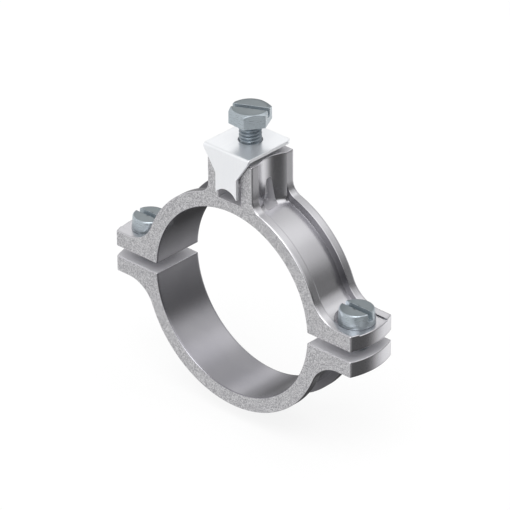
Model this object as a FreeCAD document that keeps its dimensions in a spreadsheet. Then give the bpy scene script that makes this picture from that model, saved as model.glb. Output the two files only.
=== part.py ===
# Earthing pipe clamp for a 54 mm pipe, drawn in millimetres.
# X runs from ear to ear, Y along the pipe (front face at -Y), Z up through the terminal tower.
# The origin is the centre of the pipe, half way along the clamp.
import os

import FreeCAD
import Part
import Sketcher

# Driving sizes, in millimetres (hex_turn in degrees)
DRIVING = {
    # Ring and pipe
    "bore_r": 27.0,
    "ring_wall": 4.35,
    "clamp_width": 16.0,
    "rim": 2.6,
    "channel_depth": 2.05,
    "half_gap": 1.5,
    # Ears, with the screws' seats
    "ear_thick": 4.6,
    "ear_blend": 9.3,
    "ear_past": 4.9,
    "ear_bulge": 1.65,
    "seat_sink": 0.35,
    "seat_blend": 9.3,
    "spot_room": 0.9,
    "screw_out": 5.65,
    # Tower and the conductor's way through it
    "window_half": 4.05,
    "window_high": 6.6,
    "floor_thick": 3.2,
    "roof_thick": 5.4,
    "tower_wall": 3.75,
    "foot_blend": 3.9,
    "channel_foot": 2.0,
    "flute_r": 10.75,
    "flute_land": 0.015,
    "flute_foot": 2.0,
    "flute_sink": 1.0,
    "slit_drop": 0.9,
    "slit_sink": 0.8,
    "slit_top_half": 0.9,
    "slit_bottom_half": 2.1,
    "slit_round": 0.8,
    "slit_ease": 0.09,
    # Screws: M6, slotted
    "thread_r": 3.0,
    "tap_room": 0.05,
    "screw_room": 0.3,
    "tip_chamfer": 0.6,
    "tip_out": 0.15,
    "slot_wide": 1.6,
    "slot_deep": 2.2,
    "cheese_r": 5.0,
    "cheese_high": 3.9,
    "cheese_taper": 0.3,
    "cheese_round": 0.5,
    "hex_flats": 10.0,
    "hex_high": 4.0,
    "hex_bevel": 0.2,
    "hex_turn": 26.0,
    "terminal_lift": 5.35,
    "tip_above_way": 1.95,
    # Strap
    "sheet": 1.0,
    "leg_room": 0.5,
    "back_short": 0.8,
    "plate_over": 0.1,
    "plate_corner": 1.4,
    "bend_outer": 0.8,
    "bend_inner": 0.1,
    "leg_half": 3.7,
    "leg_taper": 6.2,
    "leg_long": 12.1,
    "arch_edge": 0.2,
    "arch_rise": 2.0,
    "lip_half": 4.5,
    "lip_drop": 2.2,
    # How far a cut runs past what it cuts, and a joined shape into its neighbour
    "spare": 2.0,
    "overlap": 0.2,
}

# Sizes that follow from the driving ones, as formulas of the sheet
FOLLOWING = {
    "outer_r": "bore_r + ring_wall",
    "floor_r": "outer_r - channel_depth",
    "channel_wide": "clamp_width - 2 * rim",
    "half_wide": "clamp_width / 2",
    "half_channel": "channel_wide / 2",
    "inner_x": "sqrt(bore_r^2 - half_gap^2)",
    # Ears: their flats, the blends into the ring outside and into the channel's floor
    "ear_top": "half_gap + ear_thick",
    "seat_level": "ear_top - seat_sink",
    "screw_x": "outer_r + screw_out",
    "ear_corner": "screw_x + ear_past",
    "end_arc_r": "(half_wide^2 + ear_bulge^2) / (2 * ear_bulge)",
    "past_ear": "ear_corner + ear_bulge + spare",
    "trim_x": "past_ear + spare",
    "ear_tan_x": "sqrt((outer_r + ear_blend)^2 - (ear_top + ear_blend)^2)",
    "ear_ring_x": "outer_r * ear_tan_x / (outer_r + ear_blend)",
    "ear_ring_z": "outer_r * (ear_top + ear_blend) / (outer_r + ear_blend)",
    "seat_tan_x": "sqrt((floor_r + seat_blend)^2 - (seat_level + seat_blend)^2)",
    "seat_ring_x": "floor_r * seat_tan_x / (floor_r + seat_blend)",
    "seat_ring_z": "floor_r * (seat_level + seat_blend) / (floor_r + seat_blend)",
    "run_out_x": "sqrt((floor_r + seat_blend)^2 - (ear_top + seat_blend)^2)",
    "run_ring_x": "floor_r * run_out_x / (floor_r + seat_blend)",
    "run_ring_z": "floor_r * (ear_top + seat_blend) / (floor_r + seat_blend)",
    "under_ring": "outer_r + spare",
    # Tower: its foot on the ring and in the channel, the flutes and the wedge-shaped openings
    "window_floor": "bore_r + floor_thick",
    "window_roof": "window_floor + window_high",
    "tower_half": "window_half + tower_wall",
    "tower_top": "window_roof + roof_thick",
    "over_top": "tower_top + spare",
    "trim_high": "2 * over_top",
    "foot_z": "sqrt((outer_r + foot_blend)^2 - (tower_half + foot_blend)^2)",
    "foot_ring_x": "outer_r * (tower_half + foot_blend) / (outer_r + foot_blend)",
    "foot_ring_z": "outer_r * foot_z / (outer_r + foot_blend)",
    "chan_foot_z": "sqrt((floor_r + channel_foot)^2 - (tower_half + channel_foot)^2)",
    "chan_ring_x": "floor_r * (tower_half + channel_foot) / (floor_r + channel_foot)",
    "chan_ring_z": "floor_r * chan_foot_z / (floor_r + channel_foot)",
    "flute_depth": "flute_r - sqrt(flute_r^2 - half_channel^2) - flute_land",
    "flute_x": "tower_half - flute_depth + flute_r",
    "flute_bottom": "floor_r - flute_sink",
    "flute_high": "over_top - flute_bottom",
    "slit_shoulder": "window_roof - slit_drop",
    "slit_bottom": "floor_r - slit_sink",
    "slit_in": "window_half - overlap",
    "slit_long": "tower_half + spare - slit_in",
    "slit_curve": "slit_top_half + slit_ease",
    "slit_low": "slit_bottom + slit_round",
    "slit_low_half": "slit_bottom_half - slit_round",
    # Screws: the holes that take them, their heads and their length
    "tapped_r": "thread_r + tap_room",
    "clear_hole_r": "thread_r + screw_room",
    "strap_hole_r": "thread_r + screw_room",
    "spot_r": "cheese_r + spot_room",
    "thread_from": "window_roof - spare",
    "thread_high": "over_top - thread_from",
    "half_slot": "slot_wide / 2",
    "tip_r": "thread_r - tip_chamfer",
    "clamp_screw_long": "seat_level + ear_top + tip_out",
    "clamp_tip": "clamp_screw_long - tip_chamfer",
    "cheese_top_r": "cheese_r - cheese_taper",
    "cheese_shoulder": "cheese_high - cheese_round",
    "cheese_flat_r": "cheese_top_r - cheese_round",
    "cheese_slot": "cheese_high - slot_deep",
    "cheese_over": "cheese_high + spare",
    "hex_apothem": "hex_flats / 2",
    "hex_corner_r": "hex_apothem / cos(30 deg)",
    "hex_side": "hex_corner_r / 2",
    "hex_slot": "hex_high - slot_deep",
    "hex_over": "hex_high + spare",
    "hex_crown_r": "hex_apothem - hex_bevel",
    "crown_far": "hex_corner_r + spare",
    "crown_low": "hex_high - (crown_far - hex_crown_r) * tan(30 deg)",
    # Strap: the plate over the tower, the leg before its front face, the lip on its top
    "plate_under": "tower_top + lip_drop",
    "plate_top": "plate_under + sheet",
    "plate_half": "tower_half + plate_over",
    "plate_wide": "plate_half * 2",
    "leg_in": "half_wide + leg_room",
    "plate_front": "leg_in + sheet",
    "plate_back": "half_wide - back_short",
    "bend_z": "plate_top - bend_outer",
    "bend_y": "plate_front - bend_outer",
    "inner_bend_z": "plate_under - bend_inner",
    "inner_bend_y": "leg_in - bend_inner",
    "behind_leg": "leg_in - sheet / 2",
    "leg_shoulder": "plate_under - leg_taper",
    "leg_tip": "plate_under - leg_long",
    "below_tip": "leg_tip - spare",
    "past_plate": "plate_half + spare",
    "arch_half": "leg_half - arch_edge",
    "arch_r": "(arch_half^2 + arch_rise^2) / (2 * arch_rise)",
    "arch_centre": "leg_tip + arch_rise - arch_r",
    "lip_in": "plate_back - sheet",
    "lip_wide": "lip_half * 2",
    "lip_meet": "plate_top - sheet / 2",
    "hole_from": "plate_under - spare",
    "hole_high": "sheet + 2 * spare",
    # The terminal screw stands in the tower with its head above the strap
    "head_under": "plate_top + terminal_lift",
    "terminal_long": "head_under - window_roof - tip_above_way",
    "terminal_tip": "terminal_long - tip_chamfer",
}

# Points nearer than this are one point, and a cut that takes less than this missed its body
CLOSE = 1e-3
LEAST_CUT = 0.5

doc = FreeCAD.newDocument("earthing_pipe_clamp")
sizes = doc.addObject("Spreadsheet::Sheet", "sizes")
cells = list(DRIVING.items())
cells += [(name, "=" + formula) for name, formula in FOLLOWING.items()]
for row, (name, content) in enumerate(cells, 1):
    sizes.set("A%d" % row, name)
    sizes.set("B%d" % row, str(content))
    sizes.setAlias("B%d" % row, name)
doc.recompute()


def val(name):
    """Read a size back; a leading minus turns its sign."""
    if name == "zero":
        return 0.0
    if name.startswith("-"):
        return -float(sizes.get(name[1:]))
    return float(sizes.get(name))


def expr(name):
    """Expression text for a named size, with its sign."""
    if name.startswith("-"):
        return "-sizes." + name[1:]
    return "sizes." + name


def plane_of(body, name):
    """The body's own origin plane with this role."""
    for feature in body.Origin.OriginFeatures:
        if feature.Name.startswith(name):
            return feature
    raise RuntimeError("no plane " + name)


def sketch_on(body, plane, label, lift=None):
    """New sketch on one of the body's origin planes, moved along its normal by a named size."""
    sketch = body.newObject("Sketcher::SketchObject", label)
    sketch.AttachmentSupport = [(plane_of(body, plane), "")]
    sketch.MapMode = "FlatFace"
    if lift:
        sketch.setExpression("AttachmentOffset.Base.z", expr(lift))
    return sketch


def pin(sketch, geo, end, x_name, y_name):
    """Hold one end of a line or arc at named distances from the sketch origin."""
    for kind, name in (("DistanceX", x_name), ("DistanceY", y_name)):
        if name == "zero":
            root = -2 if kind == "DistanceX" else -1
            sketch.addConstraint(Sketcher.Constraint("PointOnObject", geo, end, root))
        else:
            index = sketch.addConstraint(Sketcher.Constraint(kind, -1, 1, geo, end, val(name)))
            sketch.setExpression("Constraints[%d]" % index, expr(name))


def outline(sketch, path):
    """Closed outline through named points.

    Each item is (x, y) for a straight side starting there, or (x, y, radius, side) for an arc
    starting there, where side is +1 if the arc bulges left of the way to the next point.
    """
    vec = FreeCAD.Vector
    count = len(path)
    geos = []
    for i, item in enumerate(path):
        start = vec(val(item[0]), val(item[1]), 0)
        nxt = path[(i + 1) % count]
        stop = vec(val(nxt[0]), val(nxt[1]), 0)
        if len(item) == 2:
            geos.append(sketch.addGeometry(Part.LineSegment(start, stop)))
            continue
        radius = val(item[2])
        chord = stop - start
        half = chord.Length / 2
        sag = radius - (max(radius * radius - half * half, 0.0)) ** 0.5
        left = vec(-chord.y, chord.x, 0).normalize()
        middle = (start + stop) * 0.5 + left * (sag * item[3])
        geos.append(sketch.addGeometry(Part.Arc(start, middle, stop)))
    firsts = []
    for i, item in enumerate(path):
        here = vec(val(item[0]), val(item[1]), 0)
        firsts.append(1 if (sketch.getPoint(geos[i], 1) - here).Length < CLOSE else 2)
    for i, item in enumerate(path):
        geo = geos[i]
        first = firsts[i]
        after = geos[(i + 1) % count]
        next_first = firsts[(i + 1) % count]
        sketch.addConstraint(Sketcher.Constraint("Coincident", geo, 3 - first, after, next_first))
        pin(sketch, geo, first, item[0], item[1])
        if len(item) == 4:
            index = sketch.addConstraint(Sketcher.Constraint("Radius", geo, val(item[2])))
            sketch.setExpression("Constraints[%d]" % index, expr(item[2]))


def ring_at(sketch, x_name, y_name, r_name):
    """Circle held at a named place with a named radius."""
    centre = FreeCAD.Vector(val(x_name), val(y_name), 0)
    geo = sketch.addGeometry(Part.Circle(centre, FreeCAD.Vector(0, 0, 1), val(r_name)))
    pin(sketch, geo, 3, x_name, y_name)
    index = sketch.addConstraint(Sketcher.Constraint("Radius", geo, val(r_name)))
    sketch.setExpression("Constraints[%d]" % index, expr(r_name))


def pad(body, sketch, length, label, reverse=False, middle=False):
    """Pad a sketch by a named length."""
    feature = body.newObject("PartDesign::Pad", label)
    feature.Profile = sketch
    feature.setExpression("Length", expr(length))
    feature.Reversed = reverse
    if middle:
        feature.SideType = "Symmetric"
    sketch.Visibility = False
    doc.recompute()
    return feature


def pocket(body, sketch, label, length=None, reverse=False, middle=False):
    """Pocket a sketch by a named length, or right through when no length is given."""
    before = body.Shape.Volume
    feature = body.newObject("PartDesign::Pocket", label)
    feature.Profile = sketch
    if length is None:
        feature.Type = "ThroughAll"
    else:
        feature.setExpression("Length", expr(length))
    feature.Reversed = reverse
    if middle:
        feature.SideType = "Symmetric"
    sketch.Visibility = False
    doc.recompute()
    if body.Shape.Volume > before - LEAST_CUT:
        raise RuntimeError(label + " removed nothing")
    return feature


def new_body(label):
    """New body with its own label."""
    body = doc.addObject("PartDesign::Body", label)
    body.Label = label
    doc.recompute()
    return body


def turned(body, sketch, label, kind="PartDesign::Revolution"):
    """Turn a sketch right round the body's Z axis, adding or cutting."""
    before = body.Shape.Volume if body.Tip else 0.0
    feature = body.newObject(kind, label)
    feature.Profile = sketch
    feature.ReferenceAxis = (sketch, ["V_Axis"])
    feature.Angle = 360
    sketch.Visibility = False
    doc.recompute()
    if kind.endswith("Groove") and body.Shape.Volume > before - LEAST_CUT:
        raise RuntimeError(label + " removed nothing")
    return feature


def build_half(label, sign):
    """Blank of one half: its face outline padded, and both ears' ends rounded in plan."""
    body = new_body(label)
    s = "" if sign > 0 else "-"
    path = [
        ("inner_x", s + "half_gap"),
        ("past_ear", s + "half_gap"),
        ("past_ear", s + "ear_top"),
        ("ear_tan_x", s + "ear_top", "ear_blend", sign),
        ("ear_ring_x", s + "ear_ring_z", "outer_r", -sign),
    ]
    if sign > 0:
        path += [
            ("foot_ring_x", "foot_ring_z", "foot_blend", 1),
            ("tower_half", "foot_z"),
            ("tower_half", "tower_top"),
            ("-tower_half", "tower_top"),
            ("-tower_half", "foot_z", "foot_blend", 1),
            ("-foot_ring_x", "foot_ring_z", "outer_r", -1),
        ]
    path += [
        ("-ear_ring_x", s + "ear_ring_z", "ear_blend", sign),
        ("-ear_tan_x", s + "ear_top"),
        ("-past_ear", s + "ear_top"),
        ("-past_ear", s + "half_gap"),
        ("-inner_x", s + "half_gap", "bore_r", sign),
    ]
    face = sketch_on(body, "XZ_Plane", label + "_face")
    outline(face, path)
    pad(body, face, "clamp_width", label + "_blank", middle=True)
    for side, m in ((1, ""), (-1, "-")):
        mark = "_right" if side > 0 else "_left"
        end = sketch_on(body, "XY_Plane", label + "_end" + mark)
        outline(end, [
            (m + "ear_corner", "-half_wide", "end_arc_r", -side),
            (m + "ear_corner", "half_wide"),
            (m + "ear_corner", "clamp_width"),
            (m + "trim_x", "clamp_width"),
            (m + "trim_x", "-clamp_width"),
            (m + "ear_corner", "-clamp_width"),
        ])
        pocket(body, end, label + "_end_trim" + mark, "trim_high", middle=True)
    return body


# Upper half: the blank, then the channel each side of the tower, down into the screw seats
upper = build_half("upper_casting", 1)
for side, m in ((1, ""), (-1, "-")):
    mark = "_right" if side > 0 else "_left"
    channel = sketch_on(upper, "XZ_Plane", "upper_channel" + mark)
    outline(channel, [
        (m + "tower_half", "over_top"),
        (m + "tower_half", "chan_foot_z", "channel_foot", -side),
        (m + "chan_ring_x", "chan_ring_z", "floor_r", side),
        (m + "seat_ring_x", "seat_ring_z", "seat_blend", -side),
        (m + "seat_tan_x", "seat_level"),
        (m + "trim_x", "seat_level"),
        (m + "trim_x", "over_top"),
    ])
    pocket(upper, channel, "upper_channel_cut" + mark, "channel_wide", middle=True)
    spot = sketch_on(upper, "XY_Plane", "spot_face" + mark, "seat_level")
    ring_at(spot, m + "screw_x", "zero", "spot_r")
    pocket(upper, spot, "spot_face_cut" + mark, "tower_half", reverse=True)
    hole = sketch_on(upper, "XY_Plane", "clear_hole" + mark)
    ring_at(hole, m + "screw_x", "zero", "clear_hole_r")
    pocket(upper, hole, "clear_hole_cut" + mark, "tower_half", reverse=True)
    # The wedge-shaped opening from the conductor way out through the flute
    slit = sketch_on(upper, "YZ_Plane", "slit" + mark, m + "slit_in")
    outline(slit, [
        ("slit_top_half", "slit_shoulder", "slit_curve", -1),
        ("-slit_top_half", "slit_shoulder"),
        ("-slit_bottom_half", "slit_low", "slit_round", -1),
        ("-slit_low_half", "slit_bottom"),
        ("slit_low_half", "slit_bottom", "slit_round", -1),
        ("slit_bottom_half", "slit_low"),
    ])
    pocket(upper, slit, "slit_cut" + mark, "slit_long", reverse=side > 0)

way = sketch_on(upper, "XZ_Plane", "conductor_way")
outline(way, [
    ("window_half", "window_floor"),
    ("window_half", "window_roof"),
    ("-window_half", "window_roof"),
    ("-window_half", "window_floor"),
])
pocket(upper, way, "conductor_way_cut", "trim_high", middle=True)
tapping = sketch_on(upper, "XY_Plane", "terminal_thread", "thread_from")
ring_at(tapping, "zero", "zero", "tapped_r")
pocket(upper, tapping, "terminal_thread_cut", "thread_high", reverse=True)

# The tower's flutes: upright hollow cylinders between the rims, rounded at the foot
flute = doc.addObject("Part::Cylinder", "flute_column")
flute.setExpression("Radius", "sizes.flute_r")
flute.setExpression("Height", "sizes.flute_high")
flute.setExpression("Placement.Base.x", "sizes.flute_x")
flute.setExpression("Placement.Base.z", "sizes.flute_bottom")
doc.recompute()
foot_edge = 0
for number, edge in enumerate(flute.Shape.Edges, 1):
    box = edge.BoundBox
    if edge.Closed and box.ZLength < CLOSE and abs(box.ZMin - val("flute_bottom")) < CLOSE:
        foot_edge = number
rounded = doc.addObject("Part::Fillet", "flute_rounded")
rounded.Base = flute
rounded.Edges = [(foot_edge, val("flute_foot"), val("flute_foot"))]
between = doc.addObject("Part::Box", "between_rims")
between.setExpression("Length", "sizes.trim_x")
between.setExpression("Width", "sizes.channel_wide")
between.setExpression("Height", "sizes.over_top")
between.setExpression("Placement.Base.y", "-sizes.half_channel")
flute_right = doc.addObject("Part::Common", "flute_right")
flute_right.Base = rounded
flute_right.Tool = between
flute_left = doc.addObject("Part::Mirroring", "flute_left")
flute_left.Source = flute_right
flute_left.Normal = FreeCAD.Vector(1, 0, 0)
flutes = doc.addObject("Part::Fuse", "flutes")
flutes.Base = flute_right
flutes.Tool = flute_left
upper_half = doc.addObject("Part::Cut", "upper_half")
upper_half.Base = upper
upper_half.Tool = flutes
upper_half.Label = "upper_half"
doc.recompute()
if upper_half.Shape.Volume > upper.Shape.Volume - LEAST_CUT:
    raise RuntimeError("the flutes removed nothing")

# Lower half: the same blank turned over, its channel round the bottom, tapped ears
lower = build_half("lower_half", -1)
channel = sketch_on(lower, "XZ_Plane", "lower_channel")
outline(channel, [
    ("run_out_x", "-ear_top", "seat_blend", -1),
    ("run_ring_x", "-run_ring_z", "floor_r", 1),
    ("-run_ring_x", "-run_ring_z", "seat_blend", -1),
    ("-run_out_x", "-ear_top"),
    ("-run_out_x", "-under_ring"),
    ("run_out_x", "-under_ring"),
])
pocket(lower, channel, "lower_channel_cut", "channel_wide", middle=True)
for m, mark in (("", "_right"), ("-", "_left")):
    hole = sketch_on(lower, "XY_Plane", "tapped_hole" + mark)
    ring_at(hole, m + "screw_x", "zero", "tapped_r")
    pocket(lower, hole, "tapped_hole_cut" + mark, "tower_half")


def slot_cut(body, label, low, high):
    """Screwdriver slot along the body's X axis."""
    slot = sketch_on(body, "YZ_Plane", label + "_slot")
    outline(slot, [
        ("half_slot", low),
        ("half_slot", high),
        ("-half_slot", high),
        ("-half_slot", low),
    ])
    pocket(body, slot, label + "_slot_cut", "trim_x", middle=True)


# The two clamp screws: slotted cheese heads standing on the ears' seats
for m, mark in (("-", "left"), ("", "right")):
    label = "clamp_screw_" + mark
    screw = new_body(label)
    profile = sketch_on(screw, "XZ_Plane", label + "_profile")
    outline(profile, [
        ("zero", "-clamp_screw_long"),
        ("tip_r", "-clamp_screw_long"),
        ("thread_r", "-clamp_tip"),
        ("thread_r", "zero"),
        ("cheese_r", "zero"),
        ("cheese_top_r", "cheese_shoulder", "cheese_round", -1),
        ("cheese_flat_r", "cheese_high"),
        ("zero", "cheese_high"),
    ])
    turned(screw, profile, label + "_turned")
    slot_cut(screw, label, "cheese_slot", "cheese_over")
    screw.setExpression("Placement.Base.x", expr(m + "screw_x"))
    screw.setExpression("Placement.Base.z", "sizes.seat_level")

# The terminal screw: slotted hexagon head with a turned crown
terminal = new_body("terminal_screw")
hexagon = sketch_on(terminal, "XY_Plane", "hexagon")
outline(hexagon, [
    ("hex_apothem", "hex_side"),
    ("zero", "hex_corner_r"),
    ("-hex_apothem", "hex_side"),
    ("-hex_apothem", "-hex_side"),
    ("zero", "-hex_corner_r"),
    ("hex_apothem", "-hex_side"),
])
pad(terminal, hexagon, "hex_high", "hexagon_pad")
shank = sketch_on(terminal, "XZ_Plane", "terminal_shank")
outline(shank, [
    ("zero", "-terminal_long"),
    ("tip_r", "-terminal_long"),
    ("thread_r", "-terminal_tip"),
    ("thread_r", "overlap"),
    ("zero", "overlap"),
])
turned(terminal, shank, "terminal_shank_turned")
crown = sketch_on(terminal, "XZ_Plane", "crown")
outline(crown, [
    ("hex_crown_r", "hex_high"),
    ("crown_far", "crown_low"),
    ("crown_far", "hex_over"),
    ("hex_crown_r", "hex_over"),
])
turned(terminal, crown, "crown_cut", "PartDesign::Groove")
slot_cut(terminal, "terminal_screw", "hex_slot", "hex_over")
terminal.Placement = FreeCAD.Placement(
    FreeCAD.Vector(0, 0, val("head_under")),
    FreeCAD.Rotation(FreeCAD.Vector(0, 0, 1), val("hex_turn")),
)
terminal.setExpression("Placement.Base.z", "sizes.head_under")
terminal.setExpression("Placement.Rotation.Angle", "sizes.hex_turn")

# The strap: plate and front leg from one bent section, a short lip under the back edge
strap = new_body("clamping_strap")
section = sketch_on(strap, "YZ_Plane", "bent_section")
outline(section, [
    ("plate_back", "plate_under"),
    ("plate_back", "plate_top"),
    ("-bend_y", "plate_top", "bend_outer", -1),
    ("-plate_front", "bend_z"),
    ("-plate_front", "leg_tip"),
    ("-leg_in", "leg_tip"),
    ("-leg_in", "inner_bend_z", "bend_inner", 1),
    ("-inner_bend_y", "plate_under"),
])
bent = pad(strap, section, "plate_wide", "bent_section_pad", middle=True)
corners = []
for number, edge in enumerate(bent.Shape.Edges, 1):
    box = edge.BoundBox
    if box.XLength < CLOSE and box.YLength < CLOSE and abs(box.YMin - val("plate_back")) < CLOSE:
        corners.append("Edge%d" % number)
rounding = strap.newObject("PartDesign::Fillet", "plate_corners")
rounding.Base = (bent, corners)
rounding.setExpression("Radius", "sizes.plate_corner")
doc.recompute()
lip = sketch_on(strap, "YZ_Plane", "lip")
outline(lip, [
    ("lip_in", "tower_top"),
    ("plate_back", "tower_top"),
    ("plate_back", "lip_meet"),
    ("lip_in", "lip_meet"),
])
pad(strap, lip, "lip_wide", "lip_pad", middle=True)
for m, mark in (("", "_right"), ("-", "_left")):
    taper = sketch_on(strap, "XZ_Plane", "leg_side" + mark, "behind_leg")
    outline(taper, [
        (m + "plate_half", "plate_under"),
        (m + "leg_half", "leg_shoulder"),
        (m + "leg_half", "below_tip"),
        (m + "past_plate", "below_tip"),
        (m + "past_plate", "plate_under"),
    ])
    pocket(strap, taper, "leg_side_cut" + mark, "plate_half", reverse=True)
arch = sketch_on(strap, "XZ_Plane", "arch", "behind_leg")
ring_at(arch, "zero", "arch_centre", "arch_r")
pocket(strap, arch, "arch_cut", "plate_half", reverse=True)
hole = sketch_on(strap, "XY_Plane", "screw_hole", "hole_from")
ring_at(hole, "zero", "zero", "strap_hole_r")
pocket(strap, hole, "screw_hole_cut", "hole_high", reverse=True)

doc.recompute()
for thing in doc.Objects:
    if "Invalid" in thing.State or "Error" in thing.State:
        raise RuntimeError("%s did not build: %s" % (thing.Label, thing.State))

os.makedirs("parts", exist_ok=True)
for name in (
    "upper_half",
    "lower_half",
    "clamp_screw_left",
    "clamp_screw_right",
    "terminal_screw",
    "clamping_strap",
):
    thing = doc.getObjectsByLabel(name)[0]
    shape = thing.Shape
    if shape.isNull() or not shape.isValid() or len(shape.Solids) != 1:
        raise RuntimeError("%s is not one valid solid" % name)
    shape.exportStep(os.path.join("parts", name + ".step"))
    print(name, "volume mm3", round(shape.Volume, 1))
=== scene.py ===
"""Looks of the earthing pipe clamp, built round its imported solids.

Sizes are in millimetres and become metres where a mesh is made. X runs from ear to ear, Y along
the pipe with the strap's leg at -Y, and Z up through the terminal tower.
"""
import logging
import math
from collections.abc import Callable, Sequence
from dataclasses import dataclass, field, replace
from enum import Enum, IntEnum

import bmesh
import bpy
import numpy as np
from mathutils import Matrix, Vector


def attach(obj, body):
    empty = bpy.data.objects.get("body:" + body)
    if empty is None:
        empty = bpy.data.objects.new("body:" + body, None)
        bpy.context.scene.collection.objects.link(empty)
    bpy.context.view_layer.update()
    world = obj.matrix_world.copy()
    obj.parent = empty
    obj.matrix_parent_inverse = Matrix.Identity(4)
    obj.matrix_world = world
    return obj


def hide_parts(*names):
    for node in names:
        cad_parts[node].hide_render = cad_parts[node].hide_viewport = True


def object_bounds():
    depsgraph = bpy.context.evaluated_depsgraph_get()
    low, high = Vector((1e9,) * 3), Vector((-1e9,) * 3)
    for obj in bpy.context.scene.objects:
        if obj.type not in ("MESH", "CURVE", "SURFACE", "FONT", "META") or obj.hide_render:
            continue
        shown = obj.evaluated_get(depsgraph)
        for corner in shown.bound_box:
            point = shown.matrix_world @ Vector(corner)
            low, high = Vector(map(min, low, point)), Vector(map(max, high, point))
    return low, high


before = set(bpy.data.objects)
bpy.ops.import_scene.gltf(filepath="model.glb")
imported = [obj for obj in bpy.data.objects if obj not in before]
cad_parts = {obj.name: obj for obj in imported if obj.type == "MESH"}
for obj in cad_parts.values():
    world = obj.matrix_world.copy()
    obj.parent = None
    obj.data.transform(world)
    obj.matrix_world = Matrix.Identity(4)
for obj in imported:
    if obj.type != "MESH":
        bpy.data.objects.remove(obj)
CAD_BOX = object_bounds()
MM = 0.001
WELD = 2e-6  # metres within which points become one
TINY = 1e-9  # keeps a division from zero
MIRROR = np.array([-1, 1])  # turns a place on a flat outline to the other side
LOG = logging.getLogger("pipe_clamp")
Array = np.ndarray
Number = float | Array
Rows = tuple[Array, Array]
Triple = tuple[float, float, float]
Piece = bpy.types.Object
Material = bpy.types.Material
Socket = bpy.types.NodeSocket


class Side(Enum):
    """Which half of the clamp a casting is."""

    UPPER = 1
    LOWER = -1


class Axis(IntEnum):
    """Direction of a straight cut."""

    X = 0
    Y = 1
    Z = 2


class Carve(Enum):
    """What a boolean does with its cutters."""

    CUT = "DIFFERENCE"
    JOIN = "UNION"


class CastSkin(IntEnum):
    """Order of a casting's finishes."""

    SMOOTH = 0
    GRAINED = 1
    # The bore's finish is coloured darker: painted shade.
    BORE_PAINTED_SHADE = 2
    OPENING = 3
    # The channel walls' finish is coloured dark: painted shade.
    WALL = 4


class ScrewSkin(IntEnum):
    """Order of a screw's finishes."""

    HEAD = 0
    # The thread's finish is coloured darker: painted shade.
    THREAD = 1
    # The top's finish is coloured darker: painted shade.
    TOP = 2


def turn(degrees: float) -> float:
    """Degrees as radians."""
    return math.radians(degrees)


def quarter(count: int) -> Array:
    """Angles spread evenly over a quarter turn, both ends included."""
    return np.linspace(0, np.pi / 2, count)


def grid_quads(rows: int, cols: int, wrap_rows: bool = False, wrap_cols: bool = False) -> Array:
    """Quads that join neighbouring points of a grid numbered row by row.

    Args:
        rows: number of rows of points.
        cols: number of points in a row.
        wrap_rows: whether the last row joins the first.
        wrap_cols: whether the last column joins the first.

    Returns:
        Point numbers, four to a quad.
    """
    row = np.arange(rows if wrap_rows else rows - 1)[:, None]
    col = np.arange(cols if wrap_cols else cols - 1)[None, :]
    below = (row + 1) % rows
    beside = (col + 1) % cols
    corners = [row * cols + col, row * cols + beside, below * cols + beside, below * cols + col]
    return np.stack(np.broadcast_arrays(*corners), axis=-1).reshape(-1, 4)


def shell_quads(rows: int, cols: int) -> Array:
    """Quads of a closed shell: a band whose rows go round an outline, with both of its ends filled.

    The first half of the rows is the outline's outer side and the second half comes back along its
    inner side, so row i and row rows-1-i face each other, and a ladder between them fills an end.

    Args:
        rows: number of points round the outline, an even number.
        cols: number of points across the band.

    Returns:
        Point numbers, four to a quad.
    """
    near = np.arange(rows // 2 - 1)
    far = rows - 1 - near
    rungs = np.stack([near, near + 1, far - 1, far], axis=-1) * cols
    return np.concatenate([grid_quads(rows, cols, wrap_rows=True), rungs[:, ::-1], rungs + cols - 1])


def closed(name: str, points: Array, faces: list[list[int]]) -> Piece:
    """Closed piece, welded and with its faces turned outwards, linked to the scene.

    Args:
        name: the piece's name.
        points: places in millimetres, one by one or on a grid.
        faces: point numbers of each face.

    Returns:
        The new piece.
    """
    mesh = bpy.data.meshes.new(name)
    mesh.from_pydata((points.reshape(-1, 3) * MM).tolist(), [], faces)
    work = bmesh.new()
    work.from_mesh(mesh)
    bmesh.ops.remove_doubles(work, verts=work.verts, dist=WELD)
    bmesh.ops.recalc_face_normals(work, faces=work.faces)
    work.to_mesh(mesh)
    work.free()
    piece = bpy.data.objects.new(name, mesh)
    bpy.context.scene.collection.objects.link(piece)
    return piece


def prism(outline: Array, low: float, high: float, axis: Axis) -> Piece:
    """Straight cutter: a flat outline carried along one axis.

    Args:
        outline: points of the outline in the two other axes, in their own order.
        low: where it starts along the axis.
        high: where it ends along the axis.
        axis: the axis.

    Returns:
        The cutter.
    """
    count = len(outline)
    ends = [np.insert(outline, axis, level, axis=1) for level in (low, high)]
    sides = grid_quads(2, count, wrap_cols=True).tolist()
    caps = [list(range(count)), list(range(2 * count - 1, count - 1, -1))]
    return closed("cutter", np.concatenate(ends), sides + caps)


def circle(x: float, y: float, radius: float, count: int = 96) -> Array:
    """Points round a circle, half a step off a piece's middle line: centre plus turned radius."""
    angle = (np.arange(count) + 0.5) * 2 * np.pi / count
    return np.stack([x + radius * np.cos(angle), y + radius * np.sin(angle)], axis=-1)


def bake(piece: Piece) -> None:
    """Replace a piece's mesh by what its modifiers make of it, and take them off.

    Args:
        piece: the piece with its modifiers.
    """
    depsgraph = bpy.context.evaluated_depsgraph_get()
    mesh = bpy.data.meshes.new_from_object(piece.evaluated_get(depsgraph))
    old = piece.data
    piece.modifiers.clear()
    piece.data = mesh
    mesh.name = piece.name
    bpy.data.meshes.remove(old)


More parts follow.
